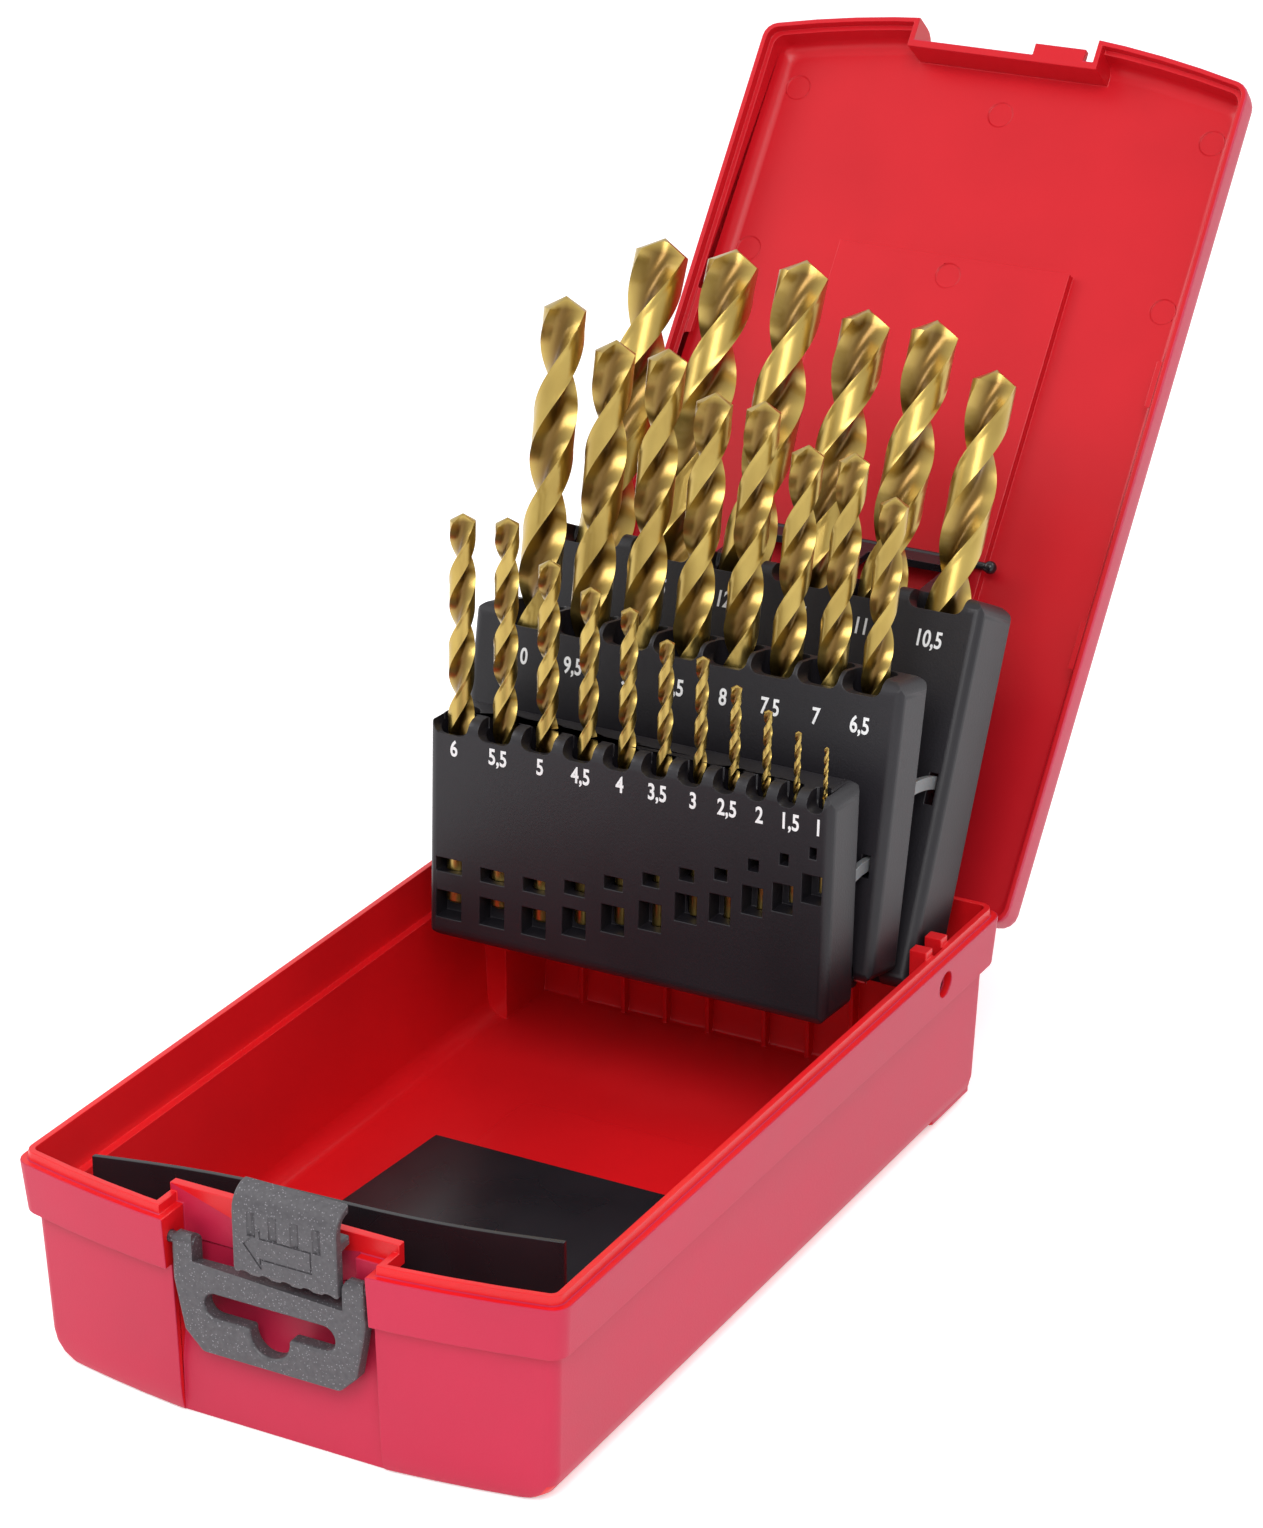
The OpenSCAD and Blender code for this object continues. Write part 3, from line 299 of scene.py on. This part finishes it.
# The forks for the pivot pins, and the side wall's face at low_z with its draft
fork_end = 0.0635
collar_z = 0.0352
low_z = 0.02
wall_at_low_z = 0.06144
wall_draft = 0.0367
near = 0.0001


def flatten_forks(piece):
    """Takes the pivot forks' outer ends back to the wall, below the collar."""
    edit_all()
    bpy.ops.mesh.select_mode(type="VERT")
    bpy.ops.mesh.select_all(action="DESELECT")
    bpy.ops.object.mode_set(mode="OBJECT")
    for vertex in piece.data.vertices:
        side, z = abs(vertex.co.x), vertex.co.z
        wall = wall_at_low_z + wall_draft * (z - low_z)
        if abs(side - fork_end) < near and z < collar_z + near:
            vertex.co.x *= wall / side
            side = wall
        vertex.select = z < collar_z + near and abs(side - wall) < near
    bpy.ops.object.mode_set(mode="EDIT")
    bpy.ops.mesh.remove_doubles(threshold=0.00003)
    bpy.ops.object.mode_set(mode="OBJECT")


def skin_outside(piece, is_outside):
    """Gives the second material to the faces that is_outside picks."""
    piece.data.materials.append(outside_red_sheen_tinted)
    for face in piece.data.polygons:
        if is_outside(face.center, face.normal):
            face.material_index = 1


# Planes just inside the base's outer faces
collar_top = 0.0472
base_foot = 0.001
base_side = 0.0595
base_front = -0.0995
base_back = 0.098


def on_base_skin(centre, normal):
    """True for the base's outside, up to the collar's upper edge."""
    return centre.z < collar_top and (
        normal.z < -0.7 and centre.z < base_foot
        or abs(centre.x) > base_side and normal.x * centre.x > 0 and abs(normal.x) > 0.3
        or centre.y < base_front and normal.y < -0.2
        or centre.y > base_back and normal.y > 0.3)


base = soften("base_shell", "base_tray", mould_edge, before=flatten_forks)
base.data.materials.append(inside_red)
skin_outside(base, on_base_skin)

# The lid: the same plastic in a second shot, with a raised field inside that
# the lifting frame runs along. It turns on the two hinge pins.
lid_axis = Vector((0, 0.1054, 0.0466))
lid_open = 127.5


def tilt(point, degrees):
    """A turn about a line along X through point."""
    turn = Matrix.Rotation(radians(degrees), 4, "X")
    return Matrix.Translation(point) @ turn @ Matrix.Translation(-point)


# Planes just inside the lid's outer faces when it is shut
shut = tilt(lid_axis, lid_open)
lid_top = 0.055
lid_side = 0.0628
lid_front = -0.1
lid_back = 0.099


def on_lid_skin(centre, normal):
    """True for the lid's outside, judged where it lies when it is shut."""
    centre, normal = shut @ centre, shut.to_3x3() @ normal
    return (normal.z > 0.3 and centre.z > lid_top
            or abs(centre.x) > lid_side and normal.x * centre.x > 0
            or centre.y < lid_front and normal.y < -0.3
            or centre.y > lid_back and normal.y > 0.3)


lid = soften("lid_shell", "lid_tray", mould_edge)
lid_red = moulded_red("lid_red_plastic", (0.56, 0.008, 0.016), 0.32, 0.10, shine=0.28)
lid.data.materials.append(lid_red)
skin_outside(lid, on_lid_skin)

# Hinge pins, pivot pins, the long wires and the link's rod: cut from bright
# drawn steel and pressed in.
bright_steel, tree, shader = new_material("drawn_steel")
draw_marks = noise(tree, object_coords(tree, (40, 2400, 2400)), 1)
tree.links.new(colours(tree, draw_marks, (0.42, 0.42, 0.44), (0.70, 0.70, 0.72)),
               shader.inputs["Base Color"])
set_inputs(shader, metallic=1, roughness=0.32)
for node in ("hinge_pins", "insert_pivot_pins", "hinge_wire_rear", "hinge_wire_front", "link_rod"):
    steel = soften(node, node + "_turned", 0.0002, angle=50)
    steel.data.materials.append(bright_steel)

# The inserts: three black blocks, sparkle-etched so that they look dry, with
# a socket to each drill. Each leans on the one behind by its wire.
etched_black, tree, shader = new_material("etched_black_plastic")
coords = object_coords(tree)
tree.links.new(colours(tree, noise(tree, coords, 35, 4), (0.0065, 0.0055, 0.008),
                       (0.012, 0.0105, 0.014), 0.3, 0.75), shader.inputs["Base Color"])
add_grain(tree, shader, noise(tree, coords, 1900, 3), 0.4)
set_inputs(shader, roughness=0.46, specular_ior_level=0.42)

# Each insert's own frame as it stands in the open case: x along its wire, y back
# through the block, z up along its drills
rear_place = (Matrix.Translation((0, 0.0724, 0.0414))
              @ Matrix.Rotation(radians(-25), 4, "X"))
middle_place = rear_place @ tilt(Vector((0, -0.0022, 0.0015)), 13)
front_place = middle_place @ tilt(Vector((0, -0.0173, 0.0015)), 9)

# In millimetres in that frame: the drills' diameters, the wall between two
# sockets, the row's middle, the drills' y, the height of the seats, each
# socket's depth, the block's front face, and how far each number stands beside
# its socket and below the seats
Row = namedtuple("Row", "name place sizes web shift drill_y seat depths face_y beside below")
front_row = Row("front", front_place, (6, 5.5, 5, 4.5, 4, 3.5, 3, 2.5, 2, 1.5, 1),
                5.7, 0.6, -30.2, 46, (42, 41, 42, 40.4, 38.3, 39, 32.2, 33.3, 29.5, 24, 20.3),
                -35.2, 1.1, 3.1)
middle_row = Row("middle", middle_place, (10, 9.5, 9, 8.5, 8, 7.5, 7, 6.5),
                 4.1, 1.1, -12.4, 65.5, (57.5,) * 8, -19.7, 0.7, 6.7)
rear_row = Row("rear", rear_place, (13, 12.5, 12, 11.5, 11, 10.5),
               6.2, 0.4, 3.2, 82, (76.5,) * 6, -4.6, 0.1, 6.5)
rows = (front_row, middle_row, rear_row)
mm = 0.001
tiny = 1e-6

# Above the seats of its drills each block has a rim, notched to the front at
# every drill so that the drills can be pinched
rim_height = 4.2
rim_round = 4
notch_side = 1.5
notch_round = 2.2


def socket_places(row):
    """The x of each socket of a row by the drill's diameter, in millimetres."""
    sizes = row.sizes
    centres_span = sum(sizes) - (sizes[0] + sizes[-1]) / 2 + row.web * (len(sizes) - 1)
    x = row.shift - centres_span / 2
    places = {}
    for i, size in enumerate(sizes):
        if i:
            x += sizes[i - 1] / 2 + row.web + size / 2
        places[size] = x
    return places


def notch_cutter(row, size, x):
    """A bar along y that cuts one notch, with its two lower edges rounded."""
    half = size / 2 + notch_side
    length = row.drill_y - row.face_y + 2
    bpy.ops.object.select_all(action="DESELECT")
    bpy.ops.mesh.primitive_cube_add(size=1)
    cutter = bpy.context.object
    cutter.data.transform(Matrix.LocRotScale(
        Vector((x, row.drill_y - length / 2, row.seat + rim_height)) * mm, None,
        Vector((2 * half, length, 2 * rim_height)) * mm))
    lower = []
    for edge in cutter.data.edges:
        ends = [cutter.data.vertices[k].co for k in edge.vertices]
        lower.append(all(end.z < row.seat * mm + tiny for end in ends)
                     and abs(ends[0].x - ends[1].x) < tiny)
    select_edges(cutter.data, lower)
    bpy.ops.object.mode_set(mode="EDIT")
    bpy.ops.mesh.select_mode(type="EDGE")
    bpy.ops.mesh.bevel(offset=min(0.8 * half, notch_round) * mm, segments=5, affect="EDGES")
    bpy.ops.mesh.select_mode(type="VERT")
    bpy.ops.object.mode_set(mode="OBJECT")
    cutter.data.transform(row.place)
    return cutter


def cut_notches(block, row):
    """Raises a block's rim and cuts a notch from each drill to the front."""
    to_row = row.place.inverted()
    lift = row.place.to_3x3() @ Vector((0, 0, rim_height * mm))
    for vertex in block.data.vertices:
        if (to_row @ vertex.co).z > (row.seat - rim_round) * mm - tiny:
            vertex.co += lift
    cutters = [notch_cutter(row, size, x) for size, x in socket_places(row).items()]
    for cutter in cutters:
        cutter.select_set(True)
    bpy.context.view_layer.objects.active = cutters[0]
    bpy.ops.object.join()
    show_only(block)
    notches = block.modifiers.new("notches", "BOOLEAN")
    notches.operation = "DIFFERENCE"
    notches.solver = "EXACT"
    notches.object = cutters[0]
    bpy.ops.object.modifier_apply(modifier="notches")
    bpy.data.objects.remove(cutters[0])


for row in (rear_row, middle_row, front_row):
    block = soften("insert_" + row.name, row.name + "_block", 0.0002,
                   before=partial(cut_notches, row=row))
    block.data.materials.append(etched_black)
for node, name in (("lugs_middle", "middle_lugs"), ("lugs_front", "front_lugs")):
    lugs = soften(node, name, 0.0002)
    lugs.data.materials.append(etched_black)

# The lifting frame: a glossy black moulding with a ball-ended pin at each side,
# which turns on the steel rod in the rear insert.
frame_black, tree, shader = new_material("glossy_black_plastic")
cloud = noise(tree, object_coords(tree), 60)
tree.links.new(colours(tree, cloud, (0.008, 0.008, 0.010), (0.018, 0.017, 0.021)),
               shader.inputs["Base Color"])
vary_roughness(tree, shader, cloud, 0.22, 0.34)
lifting_frame = soften("lift_link", "lifting_frame", 0.0002)
lifting_frame.data.materials.append(frame_black)

# The check arms: arcs of grey nylon that stop each insert from falling
# forward, clipped into the insert in front and running in a window behind.
nylon, tree, shader = new_material("grey_nylon")
tree.links.new(colours(tree, noise(tree, object_coords(tree), 90), (0.11, 0.11, 0.115),
                       (0.18, 0.18, 0.185)), shader.inputs["Base Color"])
set_inputs(shader, roughness=0.38, subsurface_weight=0.1)
for node in ("check_arms_rear", "check_arms_front"):
    arms = soften(node, node + "_nylon", 0.00015)
    arms.data.materials.append(nylon)

# The two liners: black sheet cut to size, one stood on edge behind the front
# wall and one laid on the floor.
for node, name in (("tip_pad", "tip_strip"), ("floor_pad", "floor_sheet")):
    liner = soften(node, name, 0.0002)
    liner.data.materials.append(frame_black)

# The latch slider: grey plastic with pale flecks in it, moulded with a hooked
# head and grip dimples, which runs sideways in the base's front.
flecked_grey, tree, shader = new_material("flecked_grey_plastic")
coords = object_coords(tree)
flecks = tree.nodes.new("ShaderNodeTexVoronoi")
set_inputs(flecks, scale=1500)
tree.links.new(coords, flecks.inputs["Vector"])
spots = tree.nodes.new("ShaderNodeMapRange")
set_inputs(spots, from_min=0.27, from_max=0.08)
tree.links.new(flecks.outputs["Distance"], spots.inputs["Value"])
cloud = noise(tree, coords, 900, 5)
speckle = tree.nodes.new("ShaderNodeMix")
speckle.data_type = "RGBA"
speckle.inputs["B"].default_value = (0.25, 0.24, 0.26, 1)
tree.links.new(spots.outputs["Result"], speckle.inputs["Factor"])
tree.links.new(colours(tree, cloud, (0.058, 0.054, 0.060), (0.088, 0.083, 0.090), 0.35, 0.8),
               speckle.inputs["A"])
tree.links.new(speckle.outputs["Result"], shader.inputs["Base Color"])
add_grain(tree, shader, cloud, 0.35)
set_inputs(shader, roughness=0.42)

slider_sides = (-0.0072, 0.0174)
slider_face = -0.1068
slider_head = 0.047


def on_slider_side(middle):
    """True at the two ends of the slider, on its outer face or its head."""
    return (min(abs(middle.x - side) for side in slider_sides) < near
            and (middle.y < slider_face or middle.z > slider_head))


slider = soften("latch_slider", "slider_moulding", 0.0005, angle=50, segments=3,
                pick=on_slider_side)
slider.data.materials.append(flecked_grey)

# The hang tab: a loop of the same flecked plastic with a slot to hang it by. It
# swings on two pins of its own below the slider, and these stay sharp.
tab_pins_from = 0.0385
hang_tab = soften("hang_tab", "tab_moulding", 0.0008, angle=40, segments=4,
                  pick=lambda middle: middle.z < tab_pins_from)
hang_tab.data.materials.append(flecked_grey)

# The drills: high-speed steel, ground with two right-hand flutes and coated
# gold. Each stands shank down in its socket.
nitride_gold, tree, shader = new_material("nitride_gold")
tone = noise(tree, object_coords(tree), 70, 3)
# painted shade: the gold is drawn browner down in the flutes, darker the deeper a point lies
reach = tree.nodes.new("ShaderNodeAttribute")
reach.attribute_name = "reach"
coat = colours(tree, reach.outputs["Fac"], (0.17, 0.095, 0.018), (0.50, 0.36, 0.095), 0.3, 0.95)
gold = tree.nodes.new("ShaderNodeMix")
gold.data_type = "RGBA"
gold.blend_type = "MULTIPLY"
gold.inputs["Factor"].default_value = 1
tree.links.new(coat, gold.inputs["A"])
tree.links.new(colours(tree, tone, (0.80, 0.76, 0.70), (1, 1, 1), 0.3, 0.7), gold.inputs["B"])
tree.links.new(gold.outputs["Result"], shader.inputs["Base Color"])
grinding = noise(tree, object_coords(tree, (2600, 2600, 260)), 1)
add_grain(tree, shader, grinding, 0.12, 0.00005)
vary_roughness(tree, shader, grinding, 0.24, 0.40)
set_inputs(shader, metallic=1, coat_weight=0.35, coat_roughness=0.22)

# Overall and flute length of each drill by its diameter, in millimetres
drill_lengths = {
    1: (34, 12), 1.5: (40, 18), 2: (49, 24), 2.5: (57, 30), 3: (61, 33), 3.5: (70, 39),
    4: (75, 43), 4.5: (80, 47), 5: (86, 52), 5.5: (93, 57), 6: (93, 57), 6.5: (101, 63),
    7: (109, 69), 7.5: (109, 69), 8: (117, 75), 8.5: (117, 75), 9: (125, 81), 9.5: (125, 81),
    10: (133, 87), 10.5: (133, 87), 11: (142, 94), 11.5: (142, 94), 12: (151, 101),
    12.5: (151, 101), 13: (151, 101)}
section_points = 60
margin_end = radians(9)
land_end = radians(72)
land_share = 0.972
flute_middle = radians(126)
web_half = 0.25
point_half_angle = radians(59)
flute_lead = 5.44
shank_chamfer = 0.0006
socket_rest = 0.1


def flute_radius(angle):
    """The section as a share of the radius: margin, land, then a round-bottomed flute."""
    half = angle % pi
    if half < margin_end:
        return 1.0
    if half < land_end:
        return land_share
    off = half - flute_middle
    return min(1, web_half / (1 - 0.708 * off ** 2 - 0.174 * off ** 6))


def helix_turn(size):
    """How far the flutes turn from their start to the point's shoulder."""
    flute = drill_lengths[size][1] - size / 2 / tan(point_half_angle)
    return 2 * pi * flute / (flute_lead * size)


def select_where(mesh, accepts):
    """Leaves edit mode with just the vertices selected that accepts names."""
    bpy.ops.mesh.select_all(action="DESELECT")
    bpy.ops.object.mode_set(mode="OBJECT")
    for vertex in mesh.vertices:
        vertex.select = accepts(vertex.co)


def extrude_rings(mesh, rings, place):
    """Draws the selected ring out, once for each of rings, and caps the last."""
    bpy.ops.object.mode_set(mode="EDIT")
    for ring in rings:
        bpy.ops.mesh.extrude_edges_move()
        bpy.ops.object.mode_set(mode="OBJECT")
        for vertex in mesh.vertices:
            if vertex.select:
                vertex.co = place(atan2(vertex.co.y, vertex.co.x), ring)
        bpy.ops.object.mode_set(mode="EDIT")
    bpy.ops.mesh.edge_face_add()


def make_drill(size):
    """One drill with its shank's end at the origin, pointing up, in metres."""
    overall, flute = (mm * v for v in drill_lengths[size])
    radius = size / 2 * mm
    slope = tan(point_half_angle)
    shoulder = overall - radius / slope
    start = overall - flute
    turn = helix_turn(size)
    bpy.ops.object.select_all(action="DESELECT")
    bpy.ops.mesh.primitive_circle_add(vertices=section_points, radius=radius,
                                      location=(0, 0, start))
    body = bpy.context.object
    bpy.ops.object.transform_apply(location=True, rotation=True, scale=True)
    for vertex in body.data.vertices:
        share = flute_radius(atan2(vertex.co.y, vertex.co.x))
        vertex.co.x *= share
        vertex.co.y *= share
    screw = body.modifiers.new("flutes", "SCREW")
    screw.axis = "Z"
    screw.angle = turn
    screw.screw_offset = shoulder - start
    screw.steps = screw.render_steps = max(12, round(turn / radians(9)))
    screw.use_smooth_shade = True
    bpy.ops.object.modifier_apply(modifier="flutes")

    def on_cone(angle, share):
        own = radius * flute_radius(angle - turn) * share
        return own * cos(angle), own * sin(angle), overall - own / slope

    def on_shank(angle, ring):
        share, drop = ring
        return radius * share * cos(angle), radius * share * sin(angle), start - drop

    # the point: flute walls carried up to the cone, then the cone to the centre
    bpy.ops.object.mode_set(mode="EDIT")
    bpy.ops.mesh.select_mode(type="VERT")
    select_where(body.data, lambda co: co.z > shoulder - tiny)
    extrude_rings(body.data, (1, 0.8, 0.55, 0.3, 0.12, 0.02), on_cone)
    # the shank: a plain turned cylinder with a small chamfer at its end
    select_where(body.data, lambda co: co.z < start + tiny)
    extrude_rings(body.data, ((1, 0), (1, start - shank_chamfer), (0.86, start)), on_shank)
    bpy.ops.mesh.select_all(action="SELECT")
    bpy.ops.mesh.remove_doubles(threshold=radius * 0.0005)
    bpy.ops.mesh.normals_make_consistent(inside=False)
    bpy.ops.object.mode_set(mode="OBJECT")
    bpy.ops.object.shade_smooth_by_angle(angle=radians(28))
    # painted shade: each point's reach from the axis, by which the gold is darkened in the flutes
    reach = body.data.attributes.new("reach", "FLOAT", "POINT")
    for vertex in body.data.vertices:
        above_cone = max(0, (overall - vertex.co.z) * slope / radius)
        out = hypot(vertex.co.x, vertex.co.y) / radius
        reach.data[vertex.index].value = out / min(1, above_cone + 0.01)
    return body


for row in rows:
    for (size, x), depth in zip(socket_places(row).items(), row.depths):
        node = "drill_%02d_%d" % (int(size), round(10 * (size % 1)))
        drill = make_drill(size)
        drill.name = node + "_ground"
        foot = Vector((x, row.drill_y, row.seat - depth + socket_rest)) * mm
        # no two drills are dropped in with their lips the same way round
        lips = radians(37 * size % 24 - 8) - helix_turn(size)
        drill.data.transform(
            row.place @ Matrix.Translation(foot) @ Matrix.Rotation(lips, 4, "Z"))
        drill.data.materials.append(nitride_gold)
        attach(drill, node)
        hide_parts(node)

# The sizes: white numbers printed below each socket on the inserts' faces, in
# condensed figures, with a skin of ink that stands just proud.
print_white, tree, shader = new_material("white_print")
tree.links.new(colours(tree, noise(tree, object_coords(tree), 900), (0.74, 0.74, 0.74),
                       (0.90, 0.90, 0.90)), shader.inputs["Base Color"])
set_inputs(shader, roughness=0.5)
print_height = 3.6
ink_gap = 0.03
condense = Matrix.Scale(0.74, 4, (1, 0, 0)) @ Matrix.Rotation(radians(90), 4, "X")
for row in rows:
    for size, x in socket_places(row).items():
        bpy.ops.object.select_all(action="DESELECT")
        bpy.ops.object.text_add()
        number = bpy.context.object
        number.data.body = ("%g" % size).replace(".", ",")
        number.data.size = 0.0053
        number.data.align_x = "CENTER"
        number.data.offset = 0.00011
        number.data.space_character = 1.02
        number.data.extrude = 0.00004
        bpy.ops.object.convert(target="MESH")
        number.name = "number_" + ("%g" % size).replace(".", "_")
        at = Vector((x + row.beside, row.face_y - ink_gap,
                     row.seat - row.below - print_height / 2)) * mm
        number.data.transform(row.place @ Matrix.Translation(at) @ condense)
        number.data.materials.append(print_white)
        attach(number, row.name + "_insert")
